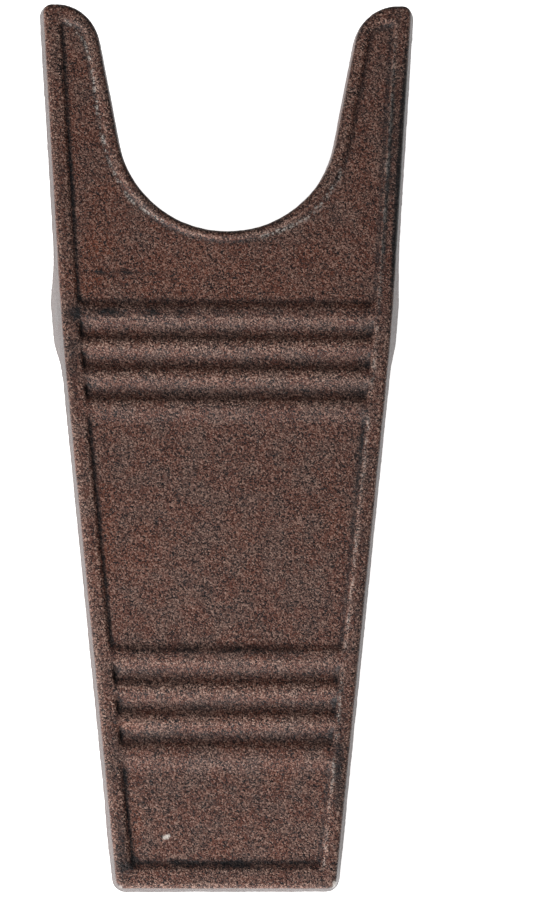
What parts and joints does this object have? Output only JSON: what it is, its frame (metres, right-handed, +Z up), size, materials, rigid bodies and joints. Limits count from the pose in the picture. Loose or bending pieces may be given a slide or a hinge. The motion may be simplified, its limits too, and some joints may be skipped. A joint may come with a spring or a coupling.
{
  "type": "boot jack",
  "caption": "Inclined cast-iron boot jack: forked heel notch, bordered panels, grip grooves, short legs and rubber floor pads.",
  "frame": {"origin": "on the floor, under the middle of the object's box, with the jack standing in use on its legs and tail", "axes": "+Z up from the floor, +Y along the deck towards the fork, +X to the right of someone standing on the tail and facing the fork"},
  "size_m": [0.1282, 0.2994, 0.0532],
  "materials": {
    "iron": "sand-cast grain under a dull rust-brown coat, rubbed darker in the recesses",
    "pad_rubber": "matt moulded rubber"
  },
  "bodies": {
    "root": {"casting": "iron", "left_leg_pad": "pad_rubber", "right_leg_pad": "pad_rubber", "left_tail_pad": "pad_rubber", "right_tail_pad": "pad_rubber"}
  },
  "joints": []
}
